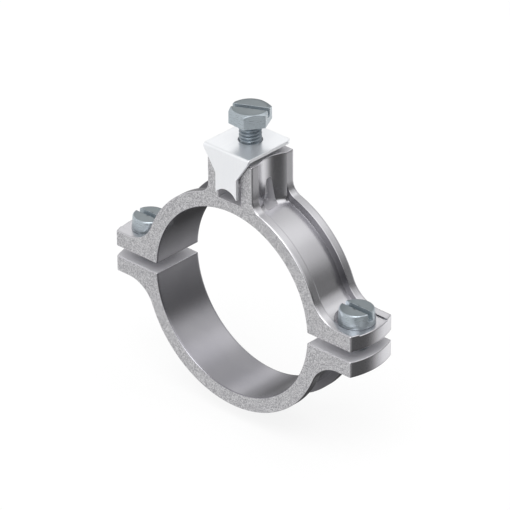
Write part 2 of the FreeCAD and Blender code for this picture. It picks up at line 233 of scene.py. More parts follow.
def carve(piece: Piece, cutters: list[Piece], way: Carve = Carve.CUT) -> None:
    """Take cutters away from a piece, or join them to it, and delete them.

    Args:
        piece: the piece to change.
        cutters: closed pieces.
        way: which of the two.
    """
    for cutter in cutters:
        modifier = piece.modifiers.new(cutter.name, "BOOLEAN")
        modifier.operation = way.value
        modifier.solver = "EXACT"
        modifier.object = cutter
        bake(piece)
        bpy.data.objects.remove(cutter)


def round_edges(piece: Piece, sharp: float, above: float, width: float, steps: int,
                clamp: bool) -> None:
    """Round a piece's sharp edges above a height.

    Args:
        piece: the piece.
        sharp: degrees between faces above which their edge is sharp.
        above: height in millimetres that both ends of such an edge pass.
        width: the rounding's width in millimetres.
        steps: faces across the rounding.
        clamp: whether roundings stop where they would meet.
    """
    work = bmesh.new()
    work.from_mesh(piece.data)
    marks = work.edges.layers.float.new("bevel_weight_edge")
    for edge in work.edges:
        high = min(corner.co.z for corner in edge.verts) > above * MM
        if high and edge.calc_face_angle(0.0) > turn(sharp):
            edge[marks] = 1.0
    work.to_mesh(piece.data)
    work.free()
    rounding = piece.modifiers.new("edge_rounding", "BEVEL")
    rounding.width = width * MM
    rounding.segments = steps
    rounding.limit_method = "WEIGHT"
    rounding.use_clamp_overlap = clamp
    bake(piece)


def smooth(piece: Piece, sharp: float = 26.0) -> None:
    """Shade a piece smooth between its sharp edges, with its flats kept flat.

    Args:
        piece: the piece to finish.
        sharp: degrees between faces above which their edge is sharp.
    """
    mesh = piece.data
    mesh.polygons.foreach_set("use_smooth", np.ones(len(mesh.polygons), bool))
    mesh.set_sharp_from_angle(angle=turn(sharp))
    flats = piece.modifiers.new("flat_faces", "WEIGHTED_NORMAL")
    flats.keep_sharp = True
    flats.weight = 50


@dataclass(frozen=True)
class Line:
    """Straight stretch of a track; any value may be an array with one entry a column."""

    x0: Number
    z0: Number
    x1: Number
    z1: Number

    def length(self) -> Number:
        """How long the stretch is."""
        return np.hypot(self.x1 - self.x0, self.z1 - self.z0)

    def at(self, part: Array) -> Rows:
        """X and Z at a share of the stretch."""
        return self.x0 + (self.x1 - self.x0) * part, self.z0 + (self.z1 - self.z0) * part


@dataclass(frozen=True)
class Arc:
    """Round stretch of a track about (x, z), from one angle to another in radians."""

    x: Number
    z: Number
    radius: Number
    start: Number
    stop: Number

    def length(self) -> Number:
        """How long the stretch is: its radius times its turn."""
        return np.abs(self.radius * (self.stop - self.start))

    def at(self, part: Array) -> Rows:
        """X and Z at a share of the stretch."""
        angle = self.start + (self.stop - self.start) * part
        return self.x + self.radius * np.cos(angle), self.z + self.radius * np.sin(angle)


def track(stretches: Sequence[Line | Arc], count: int, columns: int, last: bool = False) -> Array:
    """Points spread evenly along joined stretches, all columns at once.

    A point at share t of the whole length lies on the stretch that holds that share.

    Args:
        stretches: lines and arcs, end to end.
        count: how many points.
        columns: how many columns there are.
        last: whether the last point is the track's end, or one step short of it.

    Returns:
        X and Z, each with count rows and one entry a column.
    """
    share = (np.arange(count) / (count - 1 if last else count))[:, None]
    lengths = np.stack([stretch.length() * np.ones((count, columns)) for stretch in stretches])
    ends = np.cumsum(lengths, axis=0)
    place = share * ends[-1]
    points = np.zeros((2, count, columns))
    for stretch, length, end in zip(stretches, lengths, ends):
        begin = end - length
        part = np.clip((place - begin) / np.maximum(length, TINY), 0, 1)
        here = place >= begin - TINY
        points = np.stack([np.where(here, new, old) for new, old in zip(stretch.at(part), points)])
    return points


def box(half: float, low: float, high: float) -> Array:
    """Corners of a rectangle that is even about its middle line."""
    return np.array([[-half, low], [half, low], [half, high], [-half, high]])


def hollow(y: Array, radius: float, most: float) -> Array:
    """Height of a circle's arc over its centre: by Pythagoras, with places held inside the most."""
    return np.sqrt(radius ** 2 - np.clip(np.abs(y), 0, most) ** 2)


def steps_along(first: Array, second: Array) -> Array:
    """Direction along a closed outline: the step from the row before to the row after, at length one.

    Args:
        first: the outline's places on one axis.
        second: its places on the other.

    Returns:
        The step on both axes.
    """
    both = np.stack([first, second])
    steps = np.roll(both, -1, axis=1) - np.roll(both, 1, axis=1)
    return steps / np.maximum(np.hypot(*steps), TINY)


@dataclass
class Casting:
    """One die-cast half: ring, channel between two rims, ears, and on the upper half the tower.

    The surface is a band round the half's outline. Across the band lie the columns: the front
    edge's rounding, the front rim, the channel's wall and floor, and the same again to the back.
    """

    side: Side
    bore_r: float = 27.0
    outer_r: float = 31.35
    half_wide: float = 8.0
    half_gap: float = 1.5
    edge: float = 0.3
    # Channel: its rims, floor and walls
    rim: float = 2.6
    floor_r: float = 29.3
    rim_edge: float = 0.04
    floor_fillet: float = 0.08
    draft: float = 0.03
    fillet_share: float = 0.45
    least_fillet: float = 0.06
    least_depth: float = 0.3
    # Ears, with the screws' seats and holes
    ear_top: float = 6.1
    ear_blend: float = 9.3
    ear_corner: float = 41.9
    ear_bulge: float = 1.65
    seat_level: float = 5.75
    seat_sink: float = 0.02
    seat_r: float = 5.9
    screw_x: float = 37.0
    clear_r: float = 3.3
    tapped_r: float = 3.05
    # Tower and its flutes
    tower_half: float = 7.8
    tower_top: float = 42.2
    top_rise: float = 0.045
    rise_from: float = 6.0
    foot_blend: float = 3.9
    channel_foot: float = 2.0
    flute_r: float = 10.75
    flute_depth: float = 1.44
    # Conductor way and the wedge-shaped openings beside it
    way_half: float = 4.05
    way_floor: float = 30.2
    way_roof: float = 36.8
    wedge_in: float = 3.8
    wedge_top: float = 35.9
    wedge_half: float = 1.0
    wedge_crown: float = 0.6
    wedge_foot: float = 28.8
    wedge_foot_half: float = 1.7
    wedge_round: float = 0.6
    # Limits and margins between the finishes' faces, the last four for a normal's share
    inside_foot: float = 27.5
    inside_half: float = 2.7
    wall_near: float = 0.4
    bore_near: float = 0.15
    near: float = 0.05
    facing: float = 0.9
    parting: float = 0.95
    slanted: float = 0.2
    upright: float = 0.02
    # How far cuts reach, over the screws' seats, and through the tower's roof
    reach: float = 12.0
    seat_reach: float = 16.0
    hole_span: tuple[float, float] = (35.0, 50.0)
    # Degrees at which the bore's rows change their spacing, and rows in each stretch of the outline
    knots: tuple[float, float] = (77.0, 22.0)
    counts: dict[str, int] = field(default_factory=lambda: {
        "top": 12, "corner": 5, "side": 16, "foot": 22, "ring": 44, "blend": 18,
        "flat": 6, "end": 5, "tip": 3, "bore_corner": 5,
    })

    @property
    def body(self) -> str:
        """Name of the half's body."""
        return self.side.name.lower()

    def end_x(self, y: Array) -> Array:
        """X of the ear's end: the corner plus an arc that bulges most at the middle of the width."""
        radius = (self.half_wide ** 2 + self.ear_bulge ** 2) / (2 * self.ear_bulge)
        return self.ear_corner + hollow(y, radius, self.half_wide) - (radius - self.ear_bulge)

    def side_x(self, y: Array) -> Array:
        """X of the tower's side: flat on the rims, a hollow cylinder between them."""
        centre = self.tower_half - self.flute_depth + self.flute_r
        return np.minimum(self.tower_half, centre - hollow(y, self.flute_r, self.flute_r))

    def top_z(self, y: Array) -> Array:
        """Z of the tower's top: level under the strap's lip and rising a little to the front."""
        return self.tower_top + self.top_rise * np.maximum(self.rise_from - y, 0)

    def outer(self, y: Array, floor: bool) -> Array:
        """Outer side of the right half's outline, from the middle down to the ear's lower corner.

        Args:
            y: a Y for each row and column.
            floor: whether to follow the channel's floor or the rims.

        Returns:
            X and Z at each Y.
        """
        n = self.counts
        corner = self.edge
        ring = self.floor_r if floor else self.outer_r
        level = self.seat_level if floor and self.side is Side.UPPER else self.ear_top
        blend_x = math.sqrt((ring + self.ear_blend) ** 2 - (level + self.ear_blend) ** 2)
        blend_z = level + self.ear_blend
        rim_x = math.sqrt((self.outer_r + self.ear_blend) ** 2 - (self.ear_top + self.ear_blend) ** 2)
        ring_start, ring_stop = turn(90), math.atan2(blend_z, blend_x)
        rows = []
        done = 0

        def take(key: str) -> Array:
            """Y values of the next rows."""
            nonlocal done
            done += n[key]
            return y[done - n[key]:done]

        def lay(key: str, *stretches: Line | Arc, last: bool = False) -> None:
            """Lay the next rows along joined stretches."""
            rows.append(track(stretches, n[key], y.shape[1], last))

        def tower(key: str) -> tuple[Number, Array]:
            """X of the tower's side and Z of its top at the next rows."""
            at = take(key)
            return self.side_x(at) if floor else self.tower_half, self.top_z(at)

        if self.side is Side.UPPER:
            foot = self.channel_foot if floor else self.foot_blend
            foot_x = self.tower_half + self.foot_blend
            rim_foot = math.sqrt((self.outer_r + self.foot_blend) ** 2 - foot_x ** 2)
            ring_start = math.atan2(rim_foot, foot_x)
            flank, top = tower("top")
            lay("top", Line(0, top, flank - corner, top))
            flank, top = tower("corner")
            lay("corner", Arc(flank - corner, top - corner, corner, turn(90), 0))
            flank, top = tower("side")
            lay("side", Line(flank, top - corner, flank, rim_foot))
            flank, _ = tower("foot")
            foot_z = np.sqrt((ring + foot) ** 2 - (flank + foot) ** 2)
            meet = np.arctan2(foot_z, flank + foot)
            lay("foot", Line(flank, rim_foot, flank, foot_z),
                Arc(flank + foot, foot_z, foot, np.pi, np.pi + meet),
                Arc(0, 0, ring, meet, ring_start))
        take("ring")
        lay("ring", Arc(0, 0, ring, ring_start, ring_stop))
        take("blend")
        lay("blend", Arc(blend_x, blend_z, self.ear_blend, np.pi + ring_stop, 1.5 * np.pi),
            Line(blend_x, level, rim_x, level))
        end = self.end_x(take("flat"))
        lay("flat", Line(rim_x, level, end - corner, level))
        end = self.end_x(take("corner"))
        lay("corner", Arc(end - corner, level - corner, corner, turn(90), 0))
        end = self.end_x(take("end"))
        low = self.half_gap + corner
        lay("end", Line(end, level - corner, end, low))
        end = self.end_x(take("tip"))
        lay("tip", Arc(end - corner, low, corner, 0, turn(-45)), last=True)
        return np.concatenate(rows, axis=1)

    def inner(self, y: Array) -> Array:
        """Inner side of the right half's outline, from the middle of the bore to the ear's corner.

        Args:
            y: a Y for each row and column.

        Returns:
            X and Z at each Y.
        """
        n = self.counts
        cols = y.shape[1]
        corner = self.edge
        centre_z = self.half_gap + corner
        centre_x = math.sqrt((self.bore_r + corner) ** 2 - centre_z ** 2)
        stop = math.atan2(centre_z, centre_x)
        # The bore's rows keep level with the outer ones, which keeps the filled ends' faces short.
        high, low = self.knots
        knots = [turn(90)]
        spans = []
        if self.side is Side.UPPER:
            knots += [turn(high), math.atan2(self.outer_r, self.tower_half + self.foot_blend)]
            spans += [n["top"] + n["corner"] + n["side"], n["foot"]]
        knots += [turn(low), stop]
        spans += [n["ring"], n["blend"] - n["bore_corner"]]
        rows = [
            track([Arc(0, 0, self.bore_r, a, b)], count, cols)
            for a, b, count in zip(knots, knots[1:], spans)
        ]
        rows.append(track([Arc(centre_x, centre_z, corner, np.pi + stop, 1.5 * np.pi)],
                          n["bore_corner"], cols))
        flat = n["flat"] + n["corner"] + n["end"]
        end = self.end_x(y[-n["tip"] - flat:-n["tip"]])
        rows.append(track([Line(centre_x, self.half_gap, end - corner, self.half_gap)], flat, cols))
        end = self.end_x(y[-n["tip"]:])
        tip = Arc(end - corner, centre_z, corner, turn(-90), turn(-45))
        rows.append(track([tip], n["tip"], cols))
        return np.concatenate(rows, axis=1)

    def columns(self, depth: Array) -> tuple[Array, Array, Array]:
        """Y, share of the channel's depth and inset of the outline, for each row and column.

        Args:
            depth: the wall's height at each row.

        Returns:
            Y and share with one entry for each row and column, and inset with one a column.
        """
        wall_y = self.half_wide - self.rim
        foot_r = np.clip(self.fillet_share * depth, self.least_fillet, self.floor_fillet)[:, None]
        deep = np.maximum(depth, self.least_depth)[:, None]
        bend = quarter(5)[None, :]
        edge_y = self.half_wide - self.edge * (1 - np.cos(bend)) * np.ones_like(deep)
        lip_y = wall_y + self.draft + self.rim_edge * np.ones_like(deep)
        across = np.array([[0.17, 0.33, 0.5, 0.67, 0.83]])
        rim_y = (self.half_wide - self.edge) + (lip_y - self.half_wide + self.edge) * across
        lip = [lip_y - self.rim_edge * np.sin(bend), self.rim_edge * (1 - np.cos(bend)) / deep]
        floor_y = wall_y - self.draft - foot_r
        toe = [floor_y + foot_r * np.cos(bend), 1 - foot_r * (1 - np.sin(bend)) / deep]
        middle = floor_y * np.linspace(1, 0, 11)[None, 1:]
        y = np.concatenate([edge_y, rim_y, lip[0], toe[0], middle], axis=1)
        share = np.concatenate([
            np.zeros_like(edge_y), np.zeros_like(rim_y), lip[1], np.clip(toe[1], 0, 1),
            np.ones_like(middle),
        ], axis=1)
        inset = np.zeros(y.shape[1])
        inset[:bend.size] = (self.edge * (1 - np.sin(bend)))[0]
        y = np.concatenate([-y, y[:, -2::-1]], axis=1)
        share = np.concatenate([share, share[:, -2::-1]], axis=1)
        return y, share, np.concatenate([inset, inset[-2::-1]])

    def surface(self) -> Piece:
        """The half before its holes: rim track and floor track mixed by the share of the depth.

        Returns:
            The piece.
        """
        keys = ["ring", "blend", "flat", "corner", "end", "tip"]
        if self.side is Side.UPPER:
            keys += ["top", "corner", "side", "foot"]
        count = sum(self.counts[key] for key in keys)
        wall = np.full((count, 1), self.half_wide - self.rim)
        rim, low = self.outer(wall, floor=False), self.outer(wall, floor=True)
        y, share, inset = self.columns(np.hypot(*(rim - low))[:, 0])
        rim, low = self.outer(y, floor=False), self.outer(y, floor=True)
        out_x, out_z = rim + (low - rim) * share
        in_y = self.columns(np.zeros(count))[0]
        in_x, in_z = self.inner(in_y)
        x = np.concatenate([-out_x[:0:-1], out_x, in_x[::-1], -in_x[1:]])
        z = np.concatenate([out_z[:0:-1], out_z, in_z[::-1], in_z[1:]])
        y = np.concatenate([y[:0:-1], y, in_y[::-1], in_y[1:]])
        step_x, step_z = steps_along(x, z)
        points = np.stack([x + step_z * inset, y, (z - step_x * inset) * self.side.value], axis=-1)
        return closed(f"{self.body}_half_casting", points, shell_quads(*x.shape).tolist())

    def build(self, finishes: list[Material]) -> Piece:
        """The finished half with its holes.

        Args:
            finishes: its materials in the order of CastSkin.

        Returns:
            The piece, riding on its body in place of its solid.
        """
        piece = self.surface()
        upper = self.side is Side.UPPER
        cutters = []
        for x in (-self.screw_x, self.screw_x):
            hole = circle(x, 0, self.clear_r if upper else self.tapped_r)
            cutters.append(prism(hole, -self.reach, self.reach, Axis.Z))
            if upper:
                spot = circle(x, 0, self.seat_r, 128)
                seat = self.seat_level - self.seat_sink
                cutters.append(prism(spot, seat, self.seat_reach, Axis.Z))
        if upper:
            cutters += self.tower_cutters()
        carve(piece, cutters)
        dress(piece, finishes, self.finish_of)
        smooth(piece)
        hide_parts(f"{self.body}_half")
        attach(piece, self.body)
        return piece

    def finish_of(self, centres: Array, normals: Array) -> Array:
        """Number of each face's finish, in the order of CastSkin.

        The openings' finish is also on the tower's top and on the faces between the halves.

        Args:
            centres: the faces' middles in millimetres.
            normals: their normals.

        Returns:
            One number a face.
        """
        away, across, level = np.abs(centres).T
        along_x, along_y, along_z = np.abs(normals).T
        radius = np.hypot(centres[:, 0], centres[:, 2])
        height = centres[:, 2] * (self.side is Side.UPPER)
        grained = (along_y > self.facing) & (across > self.half_wide - self.edge / 2)
        # Faces of the bore, whose finish is coloured darker: painted shade.
        bore = radius < self.bore_r + self.bore_near
        wedge_side = (along_x < self.upright) & (across < self.inside_half)
        opening = (height > self.inside_foot) & (height < self.way_roof + self.near)
        opening &= (away < self.way_half + self.near) | wedge_side
        opening |= (height > self.tower_top - self.near) & (normals[:, 2] > self.facing)
        opening |= (level < self.half_gap + self.near) & (along_z > self.parting)
        # Faces of the channel's walls, whose finish is coloured dark: painted shade.
        wall = np.abs(across - self.half_wide + self.rim) < self.wall_near
        wall &= along_y > self.slanted
        wall &= (away > self.tower_half + self.near) & (away < self.ear_corner - self.wall_near)
        wall &= radius > self.floor_r - self.near
        skins = [CastSkin.GRAINED, CastSkin.BORE_PAINTED_SHADE, CastSkin.OPENING, CastSkin.WALL]
        return np.select([grained, bore, opening, wall], skins, CastSkin.SMOOTH)

    def tower_cutters(self) -> list[Piece]:
        """Cutters for the conductor way, the wedge-shaped openings and the terminal screw's hole.

        Returns:
            The cutters.
        """
        way = box(self.way_half, self.way_floor, self.way_roof)
        cutters = [prism(way, -self.reach, self.reach, Axis.Y)]
        bend = np.linspace(0, np.pi, 13)[1:-1]
        corner = quarter(6)
        shoulder = np.array([[self.wedge_half, self.wedge_top]])
        top = np.stack([self.wedge_half * np.cos(bend),
                        self.wedge_top + self.wedge_crown * np.sin(bend)], axis=-1)
        left = np.stack([-self.wedge_foot_half - self.wedge_round * np.cos(corner),
                         self.wedge_foot - self.wedge_round * np.sin(corner)], axis=-1)
        wedge = np.concatenate([shoulder, top, shoulder * MIRROR, left, left[::-1] * MIRROR])
        cutters.append(prism(wedge, self.wedge_in, self.reach, Axis.X))
        cutters.append(prism(wedge, -self.reach, -self.wedge_in, Axis.X))
        hole = circle(0, 0, self.tapped_r)
        cutters.append(prism(hole, *self.hole_span, Axis.Z))
        return cutters


@dataclass
class Screw:
    """A slotted M6 screw: what the clamp screws and the terminal screw share."""

    node: str
    body: str
    place: Triple
    turned: float = 0.0
    length: float = 12.0
    thread_r: float = 3.0
    thread_depth: float = 0.58
    pitch: float = 1.0
    land: float = 0.08
    neck: float = 0.15
    tip: float = 0.6
    slot_wide: float = 1.6
    slot_deep: float = 2.2
    slot_reach: float = 9.0
    head_high: float = 3.9
    eased: float = 0.07
    eased_above: float = 0.9
    sharp: float = 34.0
    near: float = 0.02
    facing: float = 0.98
    columns: int = 96
    rows_a_turn: int = 16

    @property
    def angle(self) -> Array:
        """Turn of each column."""
        return np.arange(self.columns) * 2 * np.pi / self.columns

    def shank(self) -> Rows:
        """Rows from the middle of the tip up to the head, with the thread cut in.

        Returns:
            Radius and height at each row and column.
        """
        plain = self.tip - self.length
        count = int(-plain / self.pitch * self.rows_a_turn)
        height = np.concatenate([[-self.length] * 2, np.linspace(plain, 0, count)])[:, None]
        height = np.repeat(height, self.columns, axis=1)
        radius = np.full_like(height, self.thread_r)
        radius[0] = 0
        radius[1] = self.thread_r - self.tip
        return radius - self.thread(height), height

    def thread(self, height: Array) -> Array:
        """How deep the right-hand thread is cut.

        The cut is a smooth wave of the height over the pitch less the share of a turn, nothing on
        the crest and the whole depth at the root, and it fades out over half a pitch at both ends.

        Args:
            height: height of each point.

        Returns:
            The depth of the cut at each point.
        """
        low, high = self.tip - self.length, -self.neck * self.pitch
        place = (height / self.pitch - self.angle / (2 * np.pi)) % 1
        away = np.clip((np.abs(place - 0.5) * 2 - self.land) / (1 - 2 * self.land), 0, 1)
        fade = np.clip(np.minimum(height - low, high - height) / (0.5 * self.pitch), 0, 1)
        return self.thread_depth * away ** 2 * (3 - 2 * away) * fade

    def head(self) -> Rows:
        """Rows over the head, from its underside to the middle of its top."""
        raise NotImplementedError

    def finish_of(self, centres: Array, normals: Array) -> Array:
        """Number of each face's finish, in the order of ScrewSkin.

        Args:
            centres: the faces' middles in millimetres.
            normals: their normals.

        Returns:
            One number a face.
        """
        # The thread and the head's top get darker colours: painted shade.
        height = centres[:, 2] - self.place[2]
        top = (height > self.head_high - self.near) & (normals[:, 2] > self.facing)
        skins = [ScrewSkin.THREAD, ScrewSkin.TOP]
        return np.select([height < -self.near, top], skins, ScrewSkin.HEAD)

    def build(self, finishes: list[Material]) -> Piece:
        """The finished screw, slotted and set in place.

        Args:
            finishes: its materials in the order of ScrewSkin.

        Returns:
            The piece, riding on its body in place of its solid.
        """
        radius, height = (np.concatenate(pair) for pair in zip(self.shank(), self.head()))
        points = np.stack([radius * np.cos(self.angle), radius * np.sin(self.angle), height], axis=-1)
        quads = grid_quads(*radius.shape, wrap_cols=True)
        piece = closed(f"{self.node}_turned", points, quads.tolist())
        slot = box(self.slot_wide / 2, self.head_high - self.slot_deep, self.head_high + 1)
        carve(piece, [prism(slot, -self.slot_reach, self.slot_reach, Axis.X)])
        round_edges(piece, self.sharp, self.eased_above, self.eased, 3, clamp=False)
        smooth(piece, self.sharp)
        piece.data.transform(Matrix.Translation(Vector(self.place) * MM)
                             @ Matrix.Rotation(turn(self.turned), 4, "Z"))
        dress(piece, finishes, self.finish_of)
        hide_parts(self.node)
        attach(piece, self.body)
        return piece


@dataclass
class CheeseHead(Screw):
    """Clamp screw with a turned cheese head, a little narrower at the top."""

    head_r: float = 5.0
    head_top_r: float = 4.7
    head_round: float = 0.5
    foot_round: float = 0.15

    def head(self) -> Rows:
        """Rows over the head: underside, rounded foot, side, rounded shoulder, flat top.

        Returns:
            Radius and height at each row and column.
        """
        bend = quarter(7)
        foot = self.foot_round
        shoulder = self.head_high - self.head_round
        flat = self.head_top_r - self.head_round
        radius = np.concatenate([
            [self.head_r - foot],
            self.head_r - foot + foot * np.sin(bend),
            np.linspace(self.head_r, self.head_top_r, 6)[1:],
            flat + self.head_round * np.cos(bend)[1:],
            np.linspace(flat, 0, 6)[1:],
        ])
        height = np.concatenate([
            [0],
            foot - foot * np.cos(bend),
            np.linspace(foot, shoulder, 6)[1:],
            shoulder + self.head_round * np.sin(bend)[1:],
            np.full(5, self.head_high),
        ])
        wide = np.ones((1, self.columns))
        return radius[:, None] * wide, height[:, None] * wide


@dataclass
class HexHead(Screw):
    """Terminal screw with a hexagon head whose top is turned to a shallow cone."""

    node: str = "terminal_screw"
    body: str = "terminal"
    place: Triple = (0.0, 0.0, 50.75)
    turned: float = 26.0
    head_high: float = 4.0
    flats: float = 10.0
    crown_r: float = 4.8
    cone: float = 30.0

    def head(self) -> Rows:
        """Rows over the head.

        The flats' radius is half their width over the cosine of the turn from the nearest flat,
        and the cone starts where that radius passes the crown.

        Returns:
            Radius and height at each row and column.
        """
        from_flat = (self.angle + np.pi / 6) % (np.pi / 3) - np.pi / 6
        wall = self.flats / 2 / np.cos(from_flat)
        slope = math.tan(turn(self.cone))
        wall_top = self.head_high - (wall - self.crown_r) * slope
        up = np.linspace(0, 1, 8)[:, None]
        over = np.linspace(0, 1, 5)[1:, None]
        cone_r = wall + (self.crown_r - wall) * over
        flat = np.linspace(self.crown_r, 0, 6)[1:, None] * np.ones((1, self.columns))
        radius = np.concatenate([wall + 0 * up, cone_r, flat])
        height = np.concatenate([
            wall_top * up,
            self.head_high - (cone_r - self.crown_r) * slope,
            np.full_like(flat, self.head_high),
        ])
        return radius, height


@dataclass
class Strap:
    """Clamping strap of bent sheet: plate with the screw's hole, front leg, lip at the back."""

    name: str = "clamping_strap_sheet"
    sheet: float = 1.0
    plate_half: float = 7.9
    plate_top: float = 45.4
    back_y: float = 7.2
    front_y: float = -9.5
    back_round: float = 1.4
    bend_outer: float = 0.8
    bend_inner: float = 0.1
    leg_half: float = 3.7
    shoulder_z: float = 38.2
    tip_z: float = 32.3
    arch_half: float = 3.5
    arch_rise: float = 2.0
    hole_r: float = 3.3
    hole_span: tuple[float, float] = (44.0, 46.0)
    lip_half: float = 4.5
    lip_foot: float = 42.2
    lip_corner: float = 0.8
    crown: float = 0.01
    edge: float = 0.16
    sharp: float = 40.0
    lip_sharp: float = 60.0
    columns: int = 41

    def tip(self, x: Array) -> Array:
        """Z of the leg's lower edge: level, with a round arch in the middle.

        Args:
            x: places across the leg.

        Returns:
            Z at each place.
        """
        radius = (self.arch_half ** 2 + self.arch_rise ** 2) / (2 * self.arch_rise)
        arch = self.tip_z + self.arch_rise - radius + hollow(x, radius, radius)
        return np.where(np.abs(x) < self.arch_half, np.maximum(arch, self.tip_z), self.tip_z)

    def half(self, y: Array, z: Array) -> Array:
        """Half the width at a place along the section.

        The plate's back corners are round in plan, and the leg narrows in a straight line from
        the plate's underside to its shoulder.

        Args:
            y: places along the pipe.
            z: their heights.

        Returns:
            Half the width at each place.
        """
        into = np.clip(y - (self.back_y - self.back_round), 0, self.back_round)
        corner = self.back_round - np.sqrt(self.back_round ** 2 - into ** 2)
        under = self.plate_top - self.sheet
        drop = np.clip((under - z) / (under - self.shoulder_z), 0, 1)
        return self.plate_half - corner - drop * (self.plate_half - self.leg_half)

    def section(self, outer: bool, columns: Array) -> Array:
        """Track of the bent section on one face, from the back edge to the leg's tip.

        Args:
            outer: whether to follow the sheet's outer face or its inner one.
            columns: X of each column near the tip, which the arch needs.

        Returns:
            Y and Z, with one entry for each row and column.
        """
        side, edge = 1 if outer else -1, self.edge
        out = self.sheet / 2 * (1 + side)
        level = self.plate_top - self.sheet + out
        front = self.front_y + self.sheet - out
        bend = self.bend_outer if outer else self.bend_inner
        middle_z = self.plate_top - self.sheet / 2
        middle_y = self.front_y + self.sheet / 2
        tip = self.tip(columns)[None, :]
        knee = self.shoulder_z
        back, round_y = self.back_y, self.back_y - self.back_round
        start, stop = (turn(180), turn(270)) if outer else (0, turn(-90))
        rows = [track([stretch], count, columns.size) for count, stretch in (
            (2, Line(back + self.crown, middle_z, back, level - side * edge)),
            (5, Arc(back - edge, level - side * edge, edge, 0, side * turn(90))),
            (10, Line(back - edge, level, round_y, level)),
            (18, Line(round_y, level, front + bend, level)),
            (8, Arc(front + bend, level - bend, bend, turn(90), turn(180))),
            (14, Line(front, level - bend, front, knee)),
            (12, Line(front, knee, front, tip + edge)),
            (5, Arc(front + side * edge, tip + edge, edge, start, stop)),
        )]
        end = Line(front + side * edge, tip, middle_y, tip)
        rows.append(track([end], 2, columns.size, last=True))
        return np.concatenate(rows, axis=1)

    def lip(self) -> Piece:
        """Tab bent down behind the tower: a plate with two round lower corners and eased edges.

        Returns:
            The tab.
        """
        bend = quarter(7)
        radius = self.lip_corner
        right = np.stack([self.lip_half - radius + radius * np.cos(bend),
                          self.lip_foot + radius - radius * np.sin(bend)], axis=-1)
        top = np.array([[self.lip_half, self.plate_top - self.sheet / 2]])
        half = np.concatenate([top, right])
        outline = np.concatenate([half, half[::-1] * MIRROR])
        back = self.back_y - self.crown
        piece = prism(outline, back - self.sheet, back, Axis.Y)
        round_edges(piece, self.lip_sharp, 0, self.edge, 2, clamp=True)
        return piece

    def build(self, finish: Material) -> Piece:
        """The finished strap.

        Args:
            finish: the material.

        Returns:
            The piece, riding on its body in place of its solid.
        """
        bend = quarter(5)
        flat = np.linspace(-1, 1, self.columns)[1:-1]
        share = np.concatenate([-np.ones(bend.size), flat, np.ones(bend.size)])
        reach = np.concatenate([-np.cos(bend), 0 * flat, np.cos(bend)[::-1]]) * self.edge
        inset = np.concatenate([1 - np.sin(bend), 0 * flat, 1 - np.sin(bend)[::-1]]) * self.edge
        near_tip = share * (self.leg_half - self.edge) + reach
        outer, inner = (self.section(face, near_tip) for face in (True, False))
        y, z = np.concatenate([outer, inner[:, ::-1]], axis=1)
        x = share * (self.half(y, z) - self.edge) + reach
        step_y, step_z = steps_along(y, z)
        points = np.stack([x, y - step_z * inset, z + step_y * inset], axis=-1)
        piece = closed(self.name, points, shell_quads(*x.shape).tolist())
        hole = prism(circle(0, 0, self.hole_r), *self.hole_span, Axis.Z)
        carve(piece, [self.lip()], Carve.JOIN)
        carve(piece, [hole])
        dress(piece, [finish])
        smooth(piece, self.sharp)
        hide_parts("clamping_strap")
        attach(piece, "strap")
        return piece


class Nodes:
    """Adds and joins the nodes of one material or world."""

    def __init__(self, owner: bpy.types.ID) -> None:
        """Start from an empty tree.

        Args:
            owner: the material or world.
        """
        owner.use_nodes = True
        self.tree = owner.node_tree
        self.tree.nodes.clear()

    def add(self, kind: str, links: dict | None = None, **settings: str) -> bpy.types.Node:
        """New node with its settings and what feeds it.

        Args:
            kind: the node's type.
            links: sockets by name or number, each fed by another node's socket or set to a value.
            settings: the node's own properties.

        Returns:
            The node.
        """
        node = self.tree.nodes.new(kind)
        for key, content in settings.items():
            setattr(node, key, content)
        for key, content in (links or {}).items():
            if isinstance(content, Socket):
                self.tree.links.new(content, node.inputs[key])
            else:
                node.inputs[key].default_value = content
        return node

    def noise(self, where: Socket, scale: float) -> Socket:
        """Noise over a vector, as a value from 0 to 1."""
        links = {"Vector": where, "Scale": scale, "Detail": 2.0}
        return self.add("ShaderNodeTexNoise", links).outputs["Fac"]

    def spread(self, content: Socket, low: float, high: float,
               to_low: float = 0.0, to_high: float = 1.0) -> Socket:
        """Value carried from one range to another and held inside it."""
        return self.add("ShaderNodeMapRange", {
            "Value": content, "From Min": low, "From Max": high, "To Min": to_low, "To Max": to_high,
        }).outputs[0]

    def tint(self, content: Socket, dark: Triple, light: Triple, low: float, high: float) -> Socket:
        """Colour between a dark and a light shade, as a value runs from low to high."""
        links = {0: self.spread(content, low, high), 6: (*dark, 1), 7: (*light, 1)}
        return self.add("ShaderNodeMix", links, data_type="RGBA").outputs[2]

    def bump(self, height: Socket, distance: float, strength: float) -> Socket:
        """Normal tilted by a height."""
        return self.add("ShaderNodeBump", {
            "Height": height, "Distance": distance, "Strength": strength,
        }).outputs[0]

    def white(self, kind: str, strength: Socket | float) -> Socket:
        """White shader of a strength."""
        return self.add(kind, {"Color": (1, 1, 1, 1), "Strength": strength}).outputs[0]

    def mix(self, share: Socket, first: Socket, second: Socket) -> Socket:
        """Shader between two, by a share."""
        return self.add("ShaderNodeMixShader", {0: share, 1: first, 2: second}).outputs[0]


